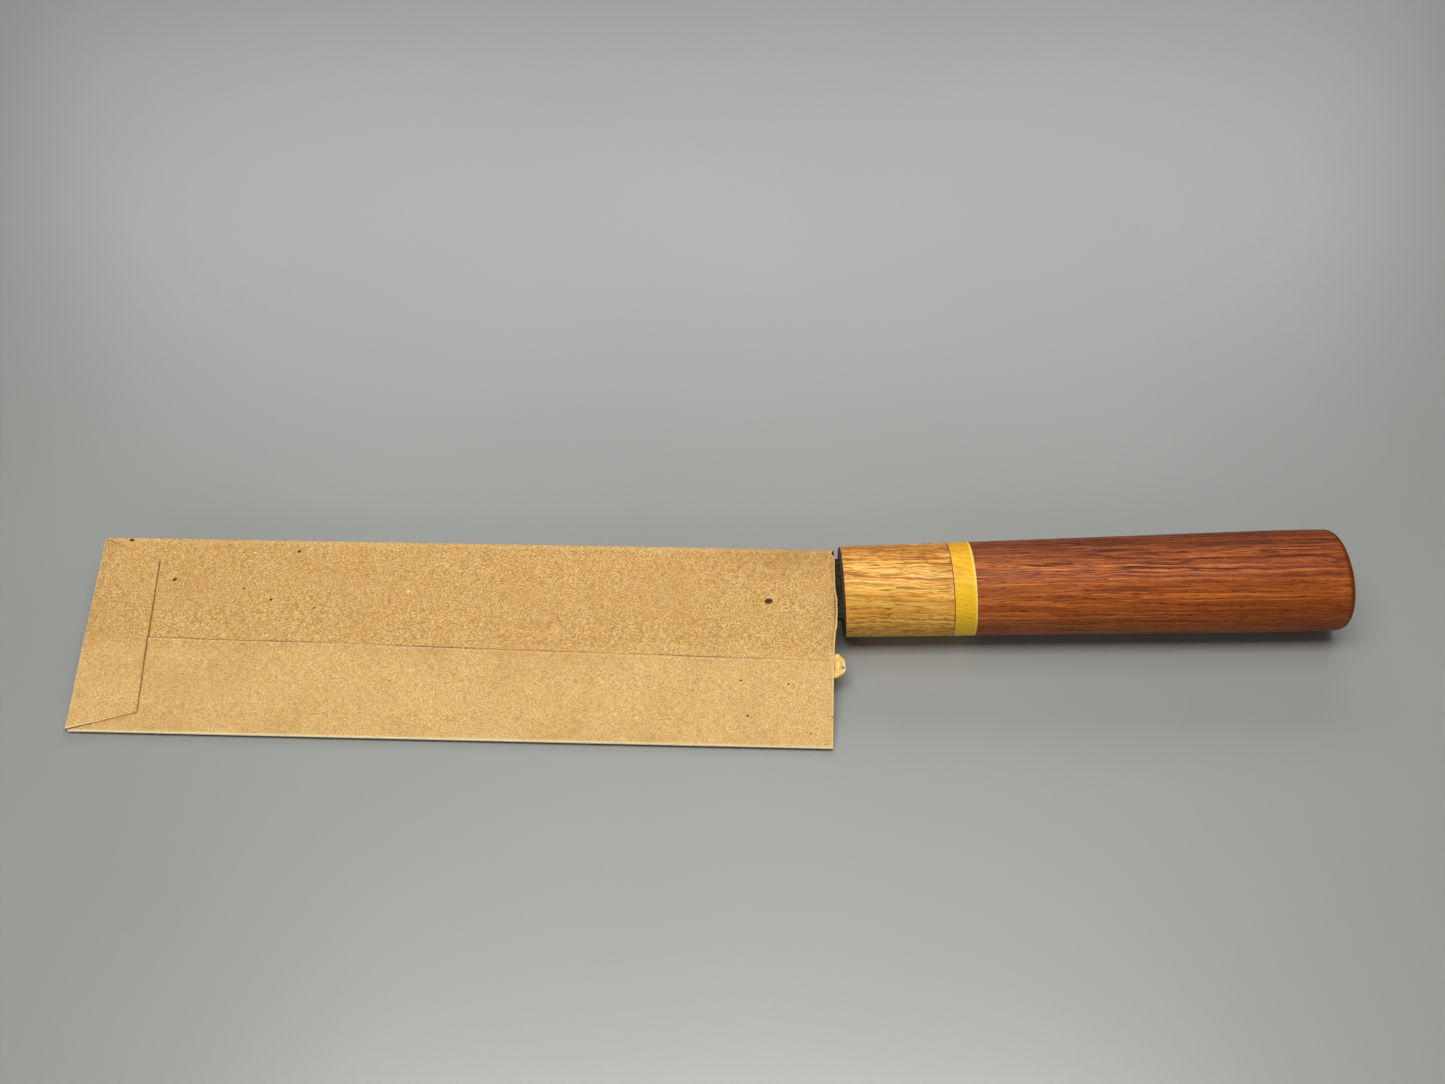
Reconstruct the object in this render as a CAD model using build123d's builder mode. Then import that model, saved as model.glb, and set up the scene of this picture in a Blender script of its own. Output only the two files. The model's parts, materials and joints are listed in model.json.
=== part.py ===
from build123d import *
import os
from math import atan, cos, degrees, radians, sin

# A small Japanese vegetable knife (nakiri) with a round wooden handle, lying on a table
# in its folded kraft paper sheath. Millimetres, +Z up.
#
# +X runs from the closed end of the sheath to the butt of the handle, and the origin is
# on the table under the middle of the whole object. The knife rests on the front rim of
# its ferrule and on the sheath's edge-side fold, so it leans by `lean` about the handle.

# ---- How it lies ---------------------------------------------------------------------
ferrule_front = (32.53, 9.60, 11.0)  # centre of the ferrule's front face
lean = 15.33  # blade leans this far down on its edge side, degrees
rise = 0.70  # handle axis rises this much towards the butt, degrees
skew = 2.65  # blade points this much to the spine side of the handle axis, degrees

# ---- Handle: a slender cone, measured along its axis from the ferrule's front --------
handle_length = 119.0
front_radius = 11.0
radius_growth = 1.32 / 125.0  # radius gained for each mm towards the butt
ferrule_end = 25.9
spacer_end = 31.1
glue_line = 0.2  # thickness of the glue films between the woods
belly_at = 100.0  # the body widens to here, and draws in a little towards the butt
belly_radius = 12.2
butt_radius = 12.0
butt_taper = 0.03  # radius lost for each mm at the butt
ring_tilt = 2.3  # the front face and both joints are this much out of square, degrees
butt_tilt = 6.0  # and the end face this much
saw_turn = 23.0  # the short side lies this far from the spine towards the upper face
saw_allowance = 3.0  # extra length that each saw cut takes off
butt_rounding = 2.0
rim_chamfer = 0.4

# ---- Inside the handle ---------------------------------------------------------------
dowel_radius = 6.0
dowel_start = 13.0
dowel_end = 96.0
slot_end = 84.0  # the saw cut in the dowel stops here
slot_half_width = 1.7
mortise_half_height = 8.2  # slot in the ferrule that takes the neck
mortise_centre = 0.55
tang_start = 2.0  # the neck narrows to the tang between here and tang_root
tang_root = 10.0
tang_root_top = 5.0
tang_root_bottom = -4.6
tang_length = 80.0
tang_end_half = 2.6  # half height just before the pointed end
tang_tip_half = 1.0
tang_point = 3.0  # length of the pointed end

# ---- Blade, in the blade plane: x towards the butt, y towards the spine ---------------
blade_length = 165.0
heel_x = -14.0
spine_y = 9.8
edge_y = -36.4
bevel_y = -19.0  # where the ground bevel starts
spine_half = 1.3  # half thicknesses
spine_ease = 0.35  # the spine's long corners are eased
bevel_half = 0.62
edge_half = 0.08
neck_top = 8.1
neck_bottom = -7.1
neck_inside = 4.0  # the neck's full height goes this far into the ferrule
tip_x = heel_x - blade_length
shoulder_start = (-3.0, neck_top)
shoulder_end = (-28.0, spine_y)
tip_rounding = 13.0  # along the spine
tip_drop = 15.6  # and down the front
toe_front = (tip_x, edge_y + 4.0)
toe_middle = (tip_x + 0.9, edge_y + 1.7)
toe_under = (tip_x + 3.0, edge_y + 0.7)
edge_lowest = (heel_x - 70.0, edge_y)
heel_corner = (heel_x, edge_y + 0.3)
choil_bottom = (heel_x + 1.2, neck_bottom - 5.0)
choil_middle = (heel_x + 2.6, neck_bottom - 1.4)
choil_top = (heel_x + 6.2, neck_bottom)

# ---- Paper sheath, in the blade plane -------------------------------------------------
paper = 0.3
glue_film = 0.1
glue_gap = 0.003  # hair of room on each side of a glue film
sheath_length = 182.0
sheath_width = 50.1
mouth_x = -1.67
spine_fold_y = 10.8
spine_fold_half = 1.9  # half the outside thickness at the spine-side fold
edge_fold_half = 0.8  # and at the edge-side fold
lap_start = 26.0  # distance from the spine fold at which the two top panels part
lap_step = 1.5  # width of the step where the flap climbs onto the outer panel
lap_end = 41.0  # hidden end of the under panel
seam_at_mouth = 29.2  # the outer panel's cut edge runs slightly askew
seam_at_end = 26.3
flap_depth = 16.5
flap_inner_near = 45.2
flap_inner_far = 6.6
flap_outer_far = 1.8
flap_far_inset = 0.5  # the flap's sides stop this far short of the two folds
flap_near_inset = 0.3
end_wall_inset = 0.4
glue_start = 30.0
glue_margin = 1.0  # glue stops this far short of the edges it joins
bead_thickness = 0.7  # dried glue squeezed out of the seam's mouth
bead_start = 26.6
bead_bulge = (2.0, 28.4)  # (distance out of the mouth, w)
bead_tip = (2.7, 30.9)
bead_belly = (1.9, 32.9)
bead_end = 33.9

# ---- Planes ----------------------------------------------------------------------------
axis_direction = (cos(radians(rise)), 0, sin(radians(rise)))
blade_normal = (
    -sin(radians(rise)) * cos(radians(lean)),
    -sin(radians(lean)),
    cos(radians(rise)) * cos(radians(lean)),
)
# x along the handle to the butt, y towards the spine, z out of the blade's upper face
handle_plane = Plane(origin=ferrule_front, x_dir=axis_direction, z_dir=blade_normal)
blade_plane = Plane(handle_plane.location * Rotation(0, 0, -skew))


def handle_section(x):
    """The plane across the handle at x along its axis."""
    return Plane(
        origin=handle_plane.from_local_coords(Vector(x, 0, 0)),
        x_dir=handle_plane.y_dir,
        z_dir=handle_plane.x_dir,
    )


def blade_section(x):
    """The plane across the blade at x: sketch x towards the spine, sketch y upwards."""
    return Plane(
        origin=blade_plane.from_local_coords(Vector(x, 0, 0)),
        x_dir=blade_plane.y_dir,
        z_dir=blade_plane.x_dir,
    )


def saw_cut(x, tilt):
    """The plane of a slightly slanting cut that crosses the handle's axis at x."""
    return Plane(
        handle_section(x).location * Rotation(0, 0, saw_turn) * Rotation(0, tilt, 0)
    )


def radius_at(x):
    return front_radius + radius_growth * x


handle_axis = Axis(origin=ferrule_front, direction=axis_direction)


# ---- Blade: one forging, from the tip to the end of the hidden tang --------------------
with BuildPart() as blade:
    with BuildSketch(blade_plane):
        with BuildLine():
            Line((neck_inside, neck_top), shoulder_start)
            Spline(shoulder_start, shoulder_end, tangents=[(-1, 0), (-1, 0)])
            Line(shoulder_end, (tip_x + tip_rounding, spine_y))
            EllipticalCenterArc(
                (tip_x + tip_rounding, spine_y - tip_drop),
                tip_rounding,
                tip_drop,
                start_angle=90,
                arc_size=90,
            )
            Line((tip_x, spine_y - tip_drop), toe_front)
            ThreePointArc(toe_front, toe_middle, toe_under)
            ThreePointArc(toe_under, edge_lowest, heel_corner)
            Line(heel_corner, choil_bottom)
            ThreePointArc(choil_bottom, choil_middle, choil_top)
            Line(choil_top, (neck_inside, neck_bottom))
            Line((neck_inside, neck_bottom), (neck_inside, neck_top))
        make_face()
    with BuildSketch(handle_plane):
        with BuildLine():
            Polyline(
                (tang_start, neck_top),
                (tang_root, tang_root_top),
                (tang_length - tang_point, tang_end_half),
                (tang_length, tang_tip_half),
                (tang_length, -tang_tip_half),
                (tang_length - tang_point, -tang_end_half),
                (tang_root, tang_root_bottom),
                (tang_start, neck_bottom),
                close=True,
            )
        make_face()
    extrude(amount=spine_half, both=True)
    # the flats taper from the spine to the bevel, and the bevel to the cutting edge
    with BuildSketch(blade_section(tip_x)):
        with BuildLine():
            Polyline(
                (spine_y, spine_half - spine_ease),
                (spine_y - spine_ease, spine_half),
                (bevel_y, bevel_half),
                (edge_y, edge_half),
                (edge_y, -edge_half),
                (bevel_y, -bevel_half),
                (spine_y - spine_ease, -spine_half),
                (spine_y, -spine_half + spine_ease),
                close=True,
            )
        make_face()
    extrude(amount=tang_length - tip_x, mode=Mode.INTERSECT)
blade.part.label = "blade"


# ---- Handle woods -----------------------------------------------------------------------
front_face = saw_cut(0, ring_tilt)
joint_half = glue_line / 2


def handle_length_of(start, end, bore):
    """A length of the handle cone between two slanting cuts, with a bore down the axis
    that is bore in radius, or solid when bore is 0."""
    low, high = start - saw_allowance, end + saw_allowance
    with BuildPart() as length:
        with BuildSketch(handle_plane):
            with BuildLine():
                Polyline(
                    (low, bore),
                    (high, bore),
                    (high, radius_at(high)),
                    (low, radius_at(low)),
                    close=True,
                )
            make_face()
        revolve(axis=handle_axis)
        split(bisect_by=saw_cut(start, ring_tilt), keep=Keep.TOP)
        split(bisect_by=saw_cut(end, ring_tilt), keep=Keep.BOTTOM)
    return length


with BuildPart() as ferrule:
    add(handle_length_of(0, ferrule_end - joint_half, 0).part)
    chamfer(ferrule.faces().sort_by(handle_axis)[0].edges(), rim_chamfer)
    with BuildSketch(handle_section(dowel_start)):
        Circle(dowel_radius)
    extrude(amount=ferrule_end, mode=Mode.SUBTRACT)
    with BuildSketch(handle_section(-saw_allowance)):
        with Locations((mortise_centre, 0)):
            SlotOverall(2 * mortise_half_height, 2 * slot_half_width)
    extrude(amount=saw_allowance + dowel_start, mode=Mode.SUBTRACT)
ferrule.part.label = "ferrule"

front_glue_line = handle_length_of(ferrule_end - joint_half, ferrule_end + joint_half, dowel_radius)
front_glue_line.part.label = "front_glue_line"

spacer = handle_length_of(ferrule_end + joint_half, spacer_end - joint_half, dowel_radius)
spacer.part.label = "spacer"

rear_glue_line = handle_length_of(spacer_end - joint_half, spacer_end + joint_half, dowel_radius)
rear_glue_line.part.label = "rear_glue_line"

body_start = spacer_end + joint_half
body_blank = body_start - saw_allowance
butt_blank = handle_length + saw_allowance
with BuildPart() as handle_body:
    with BuildSketch(handle_plane):
        with BuildLine():
            Line((body_blank, 0), (body_blank, radius_at(body_blank)))
            Line((body_blank, radius_at(body_blank)), (belly_at, belly_radius))
            Spline(
                (belly_at, belly_radius),
                (butt_blank, butt_radius),
                tangents=[(1, radius_growth), (1, -butt_taper)],
            )
            Line((butt_blank, butt_radius), (butt_blank, 0))
            Line((butt_blank, 0), (body_blank, 0))
        make_face()
    revolve(axis=handle_axis)
    split(bisect_by=saw_cut(body_start, ring_tilt), keep=Keep.TOP)
    split(bisect_by=saw_cut(handle_length, butt_tilt), keep=Keep.BOTTOM)
    fillet(handle_body.faces().sort_by(handle_axis)[-1].edges(), butt_rounding)
    with BuildSketch(handle_section(body_blank)):
        Circle(dowel_radius)
    extrude(amount=dowel_end - body_blank, mode=Mode.SUBTRACT)
handle_body.part.label = "handle_body"

# ---- Hidden dowel that joins the woods, sawn open for the tang ---------------------------
with BuildPart() as core_dowel:
    with BuildSketch(handle_section(dowel_start)):
        Circle(dowel_radius)
    extrude(amount=dowel_end - dowel_start)
    with BuildSketch(handle_section(dowel_start)):
        Rectangle(4 * dowel_radius, 2 * slot_half_width)
    extrude(amount=slot_end - dowel_start, mode=Mode.SUBTRACT)
core_dowel.part.label = "core_dowel"

# ---- Resin that fills the slot round the tang --------------------------------------------
with BuildPart() as tang_resin:
    with BuildSketch(handle_section(-saw_allowance)):
        with Locations((mortise_centre, 0)):
            SlotOverall(2 * mortise_half_height, 2 * slot_half_width)
    extrude(amount=saw_allowance + dowel_start)
    split(bisect_by=front_face, keep=Keep.TOP)
    with BuildSketch(handle_section(dowel_start)):
        Circle(dowel_radius)
        Rectangle(4 * dowel_radius, 2 * slot_half_width, mode=Mode.INTERSECT)
    extrude(amount=slot_end - dowel_start)
    add(blade.part, mode=Mode.SUBTRACT)
tang_resin.part.label = "tang_resin"


# ---- Paper sheath: one sheet, folded round the blade -------------------------------------
# w is the distance from the spine fold towards the edge fold, and heights are above the
# blade's middle plane.
closed_x = mouth_x - sheath_length
edge_fold_y = spine_fold_y - sheath_width
layer = paper + glue_film
panel_slope = (spine_fold_half - edge_fold_half) / sheath_width
lap_height = spine_fold_half - panel_slope * lap_start
lap_slope = (lap_height + layer - edge_fold_half) / (sheath_width - lap_start)


def under_height(w):
    """Outside of the under panel, which dips where the outer panel laps over it."""
    if w <= lap_start:
        return spine_fold_half - panel_slope * w
    return lap_height - lap_slope * (w - lap_start)


def outer_height(w):
    """Outside of the outer panel."""
    return edge_fold_half + lap_slope * (sheath_width - w)


def bottom_height(w):
    """Outside of the underside panel."""
    return panel_slope * w - spine_fold_half


def at(w, height):
    """A point of the cross section."""
    return (spine_fold_y - w, height)


def across_both_panels(start, end, lift):
    """Points across the top of the folded tube, raised by lift, with a step up at the lap."""
    return [
        at(start, under_height(start) + lift),
        at(lap_start - lap_step, under_height(lap_start - lap_step) + lift),
        at(lap_start, outer_height(lap_start) + lift),
        at(end, outer_height(end) + lift),
    ]


def band_over_panels(start, end, low, high):
    """A closed outline that follows both top panels between two heights above them."""
    top = across_both_panels(start, end, high)
    underside = across_both_panels(start, end, low)
    Polyline(*top, *reversed(underside), close=True)


with BuildPart() as end_flap:
    with BuildSketch(blade_section(closed_x)):
        with BuildLine():
            band_over_panels(flap_far_inset, sheath_width - flap_near_inset, glue_film, layer)
        make_face()
    extrude(amount=flap_depth)
    with BuildSketch(blade_plane):
        with BuildLine():
            Polyline(
                (closed_x, spine_fold_y - flap_outer_far),
                (closed_x + flap_depth, spine_fold_y - flap_inner_far),
                (closed_x + flap_depth, spine_fold_y - flap_inner_near),
                (closed_x, edge_fold_y),
                close=True,
            )
        make_face()
    extrude(amount=2 * spine_fold_half, mode=Mode.INTERSECT)

# the plane between the two lapped panels, in the middle of their glue
lap_plane = Plane(
    blade_plane.location
    * Pos(0, spine_fold_y - lap_start, lap_height + glue_film / 2)
    * Rotation(degrees(atan(lap_slope)), 0, 0)
)

with BuildPart() as sleeve:
    half = paper / 2
    spine_bend = spine_fold_half
    edge_bend = sheath_width - edge_fold_half
    with BuildSketch(blade_section(closed_x)):
        with BuildLine():
            Polyline(
                at(lap_end, under_height(lap_end) - half),
                at(lap_start, under_height(lap_start) - half),
                at(spine_bend, under_height(spine_bend) - half),
            )
            ThreePointArc(
                at(spine_bend, under_height(spine_bend) - half),
                at(half, 0),
                at(spine_bend, bottom_height(spine_bend) + half),
            )
            Line(
                at(spine_bend, bottom_height(spine_bend) + half),
                at(edge_bend, bottom_height(edge_bend) + half),
            )
            ThreePointArc(
                at(edge_bend, bottom_height(edge_bend) + half),
                at(sheath_width - half, 0),
                at(edge_bend, outer_height(edge_bend) - half),
            )
            Line(
                at(edge_bend, outer_height(edge_bend) - half),
                at(seam_at_end, outer_height(seam_at_end) - half),
            )
        trace(line_width=paper)
    extrude(amount=sheath_length)
    # trim the outer panel along its slightly askew seam
    with BuildSketch(lap_plane):
        with BuildLine():
            Polyline(
                (mouth_x, lap_start - seam_at_mouth),
                (closed_x, lap_start - seam_at_end),
                (closed_x, lap_step),
                (mouth_x, lap_step),
                close=True,
            )
        make_face()
    extrude(amount=2 * paper, mode=Mode.SUBTRACT)
    # the closed end: the sheet turns up here and goes over the top as the flap
    with BuildSketch(blade_section(closed_x)):
        with BuildLine():
            Polyline(
                *across_both_panels(flap_outer_far, sheath_width - flap_near_inset, layer),
                at(sheath_width, 0),
                at(edge_bend, bottom_height(edge_bend)),
                at(spine_bend, bottom_height(spine_bend)),
                at(end_wall_inset, -spine_fold_half / 2),
                at(end_wall_inset, spine_fold_half / 2),
                close=True,
            )
        make_face()
    extrude(amount=paper)
    add(end_flap.part)
sleeve.part.label = "sleeve"


# ---- Glue in the sheath --------------------------------------------------------------------
def out_of_mouth(distance, w):
    """A point of the lap plane, beyond the sheath's mouth."""
    return (mouth_x + distance, lap_start - w)


with BuildPart() as seam_glue:
    with BuildSketch(blade_section(closed_x + glue_margin)):
        with BuildLine():
            Polyline(
                at(glue_start, under_height(glue_start) + glue_gap),
                at(lap_end, under_height(lap_end) + glue_gap),
                at(lap_end, under_height(lap_end) + glue_film - glue_gap),
                at(glue_start, under_height(glue_start) + glue_film - glue_gap),
                close=True,
            )
        make_face()
    extrude(amount=sheath_length - glue_margin)
    # the bead that was squeezed out at the mouth and dried there
    with BuildSketch(lap_plane.offset(-bead_thickness / 2)):
        with BuildLine():
            ThreePointArc(
                out_of_mouth(0, bead_start), out_of_mouth(*bead_bulge), out_of_mouth(*bead_tip)
            )
            ThreePointArc(
                out_of_mouth(*bead_tip), out_of_mouth(*bead_belly), out_of_mouth(0, bead_end)
            )
            Line(out_of_mouth(0, bead_end), out_of_mouth(0, bead_start))
        make_face()
    extrude(amount=bead_thickness)
seam_glue.part.label = "seam_glue"

with BuildPart() as flap_glue:
    with BuildSketch(blade_section(closed_x + 2 * glue_margin)):
        with BuildLine():
            band_over_panels(
                flap_inner_far + glue_margin,
                flap_inner_near - glue_margin,
                glue_gap,
                glue_film - glue_gap,
            )
        make_face()
    extrude(amount=flap_depth - 4 * glue_margin)
flap_glue.part.label = "flap_glue"

# ---- One STEP file for each piece ------------------------------------------------------------
os.makedirs("parts", exist_ok=True)
for piece in (
    blade,
    ferrule,
    front_glue_line,
    spacer,
    rear_glue_line,
    handle_body,
    core_dowel,
    tang_resin,
    sleeve,
    seam_glue,
    flap_glue,
):
    export_step(piece.part, f"parts/{piece.part.label}.step")
    bounds = piece.part.bounding_box()
    print(piece.part.label, len(piece.part.solids()), bounds.min, bounds.max)
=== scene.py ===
import json
import math
import random
from collections import namedtuple

import bpy
from mathutils import Matrix, Vector, noise


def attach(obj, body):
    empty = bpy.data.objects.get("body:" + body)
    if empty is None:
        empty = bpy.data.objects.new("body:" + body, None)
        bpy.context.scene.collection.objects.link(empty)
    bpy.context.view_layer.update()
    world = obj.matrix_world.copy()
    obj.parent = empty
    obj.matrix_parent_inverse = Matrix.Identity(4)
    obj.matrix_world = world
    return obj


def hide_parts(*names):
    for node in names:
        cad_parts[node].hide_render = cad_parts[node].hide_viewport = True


# The looks of a small vegetable knife in its folded kraft paper sheath. The CAD nodes
# keep their shapes and get materials. The plain CAD sleeve and its glue are replaced by
# detailed pieces, built here in the blade's own coordinates.

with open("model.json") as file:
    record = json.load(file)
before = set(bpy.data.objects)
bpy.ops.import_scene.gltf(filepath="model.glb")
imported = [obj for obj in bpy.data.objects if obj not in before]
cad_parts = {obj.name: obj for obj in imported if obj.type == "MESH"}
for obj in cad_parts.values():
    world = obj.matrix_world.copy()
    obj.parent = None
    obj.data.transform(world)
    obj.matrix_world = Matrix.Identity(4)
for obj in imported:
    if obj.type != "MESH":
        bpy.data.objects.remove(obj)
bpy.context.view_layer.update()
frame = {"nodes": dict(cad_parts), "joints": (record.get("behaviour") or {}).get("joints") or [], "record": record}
NODES = frame["nodes"]
RECORD = frame["record"]

MM = 0.001

# ---- Coordinates of the knife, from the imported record
HANDLE_LENGTH = 0.119
HANDLE_RISE = math.radians(0.70)  # the handle's axis rises this much towards the butt
BUTT_X = HANDLE_LENGTH / MM  # the sawn end, in millimetres
BUTT_LEAN = (0.0967, 0.0411)  # how the sawn end slopes back towards handle Y and Z
RING_LEAN = (0.0370, 0.0157)  # and how the front face and the joints do
SPACER_END = 31.0  # the spacer's pale rear rim ends here, millimetres from the ferrule's front
butt = next(m for m in RECORD["mounts"] if m["name"] == "butt_end")
slide = next(j for j in frame["joints"] if j["name"] == "sheath_slide")
handle_x = Vector((math.cos(HANDLE_RISE), 0.0, math.sin(HANDLE_RISE)))
blade_x = -Vector(slide["axis"]).normalized()
upward = blade_x.cross(handle_x).normalized()  # out of the blade's upper face
ferrule_front = Vector(butt["pos_m"]) - HANDLE_LENGTH * handle_x


def frame_matrix(x_axis, z_axis, origin):
    """Coordinates in millimetres from origin, as a matrix to the row frame in metres."""
    columns = Matrix((x_axis, z_axis.cross(x_axis), z_axis)).transposed()
    return Matrix.Translation(origin) @ (columns * MM).to_4x4()


HANDLE_FRAME = frame_matrix(handle_x, upward, ferrule_front)
BLADE_FRAME = frame_matrix(blade_x, upward, ferrule_front)

# ---- Sizes of the paper sheath, millimetres
MOUTH_X = -1.67  # the mouth, from the ferrule's front
SHEATH_LENGTH = 182.0
SHEATH_WIDTH = 50.1
SPINE_FOLD_Y = 10.8  # the spine-side fold, across from the ferrule's centre
SPINE_FOLD_HALF = 1.9  # half the outside thickness at the spine-side fold
EDGE_FOLD_HALF = 0.8  # and near the edge-side fold
CREASE_HALF = 0.42  # where that fold is creased sharp
CREASE_LIFT = 0.34  # the crease lies this far above the middle plane
CREASE_REACH = 5.0  # how far from it the panels start to close on it
CLOSED_HALF = 0.46  # where the closed end is pressed flat
PINCH_LENGTH = 15.0  # the last stretch, which thins towards the closed end
PAPER = 0.3  # its thickness
GLUE_FILM = 0.1
LAYER = PAPER + GLUE_FILM
LAP_START = 26.0  # the two top panels part this far from the spine-side fold
LAP_END = 41.0  # hidden edge of the far panel, under the near one
SEAM_AT_MOUTH = 29.2  # the near panel's cut edge runs from here
SEAM_AT_END = 26.3  # to here at the closed end
FLAP_REACH = 16.4  # the end flap's depth, measured from the closed end
FLAP_FAR = 6.6  # its inner edge runs from here
FLAP_NEAR = 45.2  # to here
FOLD_ROUND = 0.65  # how far the closed end's fold bulges past the last row


# ---- Small helpers
def smooth(low, high, value):
    """0 below low, 1 above high, smooth between them."""
    t = min(1.0, max(0.0, (value - low) / (high - low)))
    return t * t * (3 - 2 * t)


def bell(centre, width, value):
    """A rounded bump of height 1 at centre."""
    return math.exp(-(((value - centre) / width) ** 2))


def mix(a, b, t):
    """a at t = 0, b at t = 1, straight between them."""
    return a + (b - a) * t


def steps(start, end, count):
    """count + 1 even values from start to end."""
    return [mix(start, end, i / count) for i in range(count + 1)]


def smooth_noise(*place):
    """Gentle noise from about -1 to 1."""
    x, y, z = (*place, 0.0, 0.0)[:3]
    return noise.noise(Vector((x, y, z)))


def new_piece(name, vertices, faces, materials, marks=None):
    """A mesh object from points in the blade's millimetre coordinates. marks are values
    for each point, by name, that its materials read."""
    mesh = bpy.data.meshes.new(name)
    mesh.from_pydata([BLADE_FRAME @ Vector(v) for v in vertices], [], faces)
    for mark, values in (marks or {}).items():
        mesh.attributes.new(mark, "FLOAT", "POINT").data.foreach_set("value", values)
    for material in materials:
        mesh.materials.append(material)
    for polygon in mesh.polygons:
        polygon.use_smooth = True
    piece = bpy.data.objects.new(name, mesh)
    bpy.context.scene.collection.objects.link(piece)
    return piece


def apply_modifiers(piece, sharp_degrees):
    """Turns the piece into its final mesh, with sharp edges above an angle."""
    graph = bpy.context.evaluated_depsgraph_get()
    final = bpy.data.meshes.new_from_object(piece.evaluated_get(graph))
    piece.modifiers.clear()
    piece.data = final
    final.set_sharp_from_angle(angle=math.radians(sharp_degrees))
    return piece


def grid_faces(rows):
    """Quads between neighbouring rows of point indices."""
    return [
        (row[j], row[j + 1], after[j + 1], after[j])
        for row, after in zip(rows, rows[1:])
        for j in range(len(row) - 1)
    ]


# ---- Materials
class Shader:
    """A material's node tree, with a short call for each kind of node used here."""

    def __init__(self, name, matrix):
        self.material = bpy.data.materials.new(name)
        self.material.use_nodes = True
        self.tree = self.material.node_tree
        self.tree.nodes.clear()
        self.bsdf = self.node("ShaderNodeBsdfPrincipled")
        output = self.node("ShaderNodeOutputMaterial")
        self.tree.links.new(self.bsdf.outputs[0], output.inputs[0])
        self.place = self.coordinates(matrix)

    def node(self, kind, **settings):
        made = self.tree.nodes.new(kind)
        for key, value in settings.items():
            setattr(made, key, value)
        return made

    def put(self, socket, value):
        """Links a socket to another, or sets its value; None leaves it as it is."""
        if isinstance(value, bpy.types.NodeSocket):
            self.tree.links.new(value, socket)
        elif value is not None:
            socket.default_value = value

    def coordinates(self, matrix):
        """The point being shaded, in the millimetre coordinates of matrix."""
        place = self.node("ShaderNodeTexCoord").outputs["Object"]
        mapping = self.node("ShaderNodeMapping", vector_type="TEXTURE")
        mapping.inputs["Location"].default_value = matrix.to_translation()
        mapping.inputs["Rotation"].default_value = matrix.to_euler("XYZ")
        mapping.inputs["Scale"].default_value = (MM, MM, MM)
        self.put(mapping.inputs["Vector"], place)
        return mapping.outputs[0]

    def mark(self, name):
        """A value that the mesh holds for each point."""
        return self.node("ShaderNodeAttribute", attribute_name=name).outputs["Fac"]

    def vector_math(self, operation, a, b, output="Vector"):
        made = self.node("ShaderNodeVectorMath", operation=operation)
        self.put(made.inputs[0], a)
        self.put(made.inputs[1], b)
        return made.outputs[output]

    def scaled(self, vector, factors):
        return self.vector_math("MULTIPLY", vector, factors)

    def moved(self, vector, offset):
        return self.vector_math("ADD", vector, offset)

    def turned(self, vector, degrees, axis="Z"):
        made = self.node("ShaderNodeVectorRotate", rotation_type=axis + "_AXIS")
        self.put(made.inputs["Vector"], vector)
        self.put(made.inputs["Angle"], math.radians(degrees))
        return made.outputs[0]

    def distance(self, vector, place):
        """How far a point is from a fixed place."""
        return self.vector_math("DISTANCE", vector, place, "Value")

    def part(self, vector, axis):
        """One coordinate, "X", "Y" or "Z", of a vector."""
        made = self.node("ShaderNodeSeparateXYZ")
        self.put(made.inputs[0], vector)
        return made.outputs[axis]

    def along(self, lean):
        """Distance along X, measured between cuts that slope back by lean."""
        return self.vector_math("DOT_PRODUCT", self.place, (1.0, *lean), "Value")

    def math(self, operation, a, b=None):
        made = self.node("ShaderNodeMath", operation=operation)
        self.put(made.inputs[0], a)
        self.put(made.inputs[1], b)
        return made.outputs[0]

    def times(self, a, b):
        return self.math("MULTIPLY", a, b)

    def noise(self, vector, scale=1.0, detail=2.0, roughness=0.5):
        made = self.node("ShaderNodeTexNoise")
        self.put(made.inputs["Vector"], vector)
        self.put(made.inputs["Scale"], scale)
        self.put(made.inputs["Detail"], detail)
        self.put(made.inputs["Roughness"], roughness)
        return made.outputs["Fac"]

    def wavy(self, vector, noise_scale, reach):
        """The vector pushed about by smooth noise, up to reach along each axis."""
        made = self.node("ShaderNodeTexNoise")
        self.put(made.inputs["Vector"], self.scaled(vector, noise_scale))
        self.put(made.inputs["Detail"], 1.0)
        push = self.scaled(self.moved(made.outputs["Color"], (-0.5, -0.5, -0.5)), reach)
        return self.moved(vector, push)

    def band(self, value, low, high, start=0.0, end=1.0):
        """start below low, end above high, smooth between them."""
        made = self.node("ShaderNodeMapRange", interpolation_type="SMOOTHSTEP")
        for name, number in zip(("From Min", "From Max", "To Min", "To Max"), (low, high, start, end)):
            made.inputs[name].default_value = number
        self.put(made.inputs["Value"], value)
        return made.outputs[0]

    def ramp(self, value, *stops):
        """Colours along a value; each stop is (position, colour)."""
        made = self.node("ShaderNodeValToRGB")
        elements = made.color_ramp.elements
        while len(elements) < len(stops):
            elements.new(0.5)
        for element, (position, colour) in zip(elements, stops):
            element.position = position
            element.color = (*colour, 1.0)
        self.put(made.inputs[0], value)
        return made.outputs[0]

    def blend(self, factor, a, b):
        """Colours a and b mixed by factor."""
        made = self.node("ShaderNodeMix", data_type="RGBA")
        self.put(made.inputs["Factor"], factor)
        self.put(made.inputs[6], (*a, 1.0) if isinstance(a, tuple) else a)
        self.put(made.inputs[7], (*b, 1.0) if isinstance(b, tuple) else b)
        return made.outputs[2]

    def bump(self, height, depth_mm):
        """A bump whose full height is depth_mm."""
        made = self.node("ShaderNodeBump")
        made.inputs["Distance"].default_value = depth_mm * MM
        self.put(made.inputs["Height"], height)
        return made.outputs[0]

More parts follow.
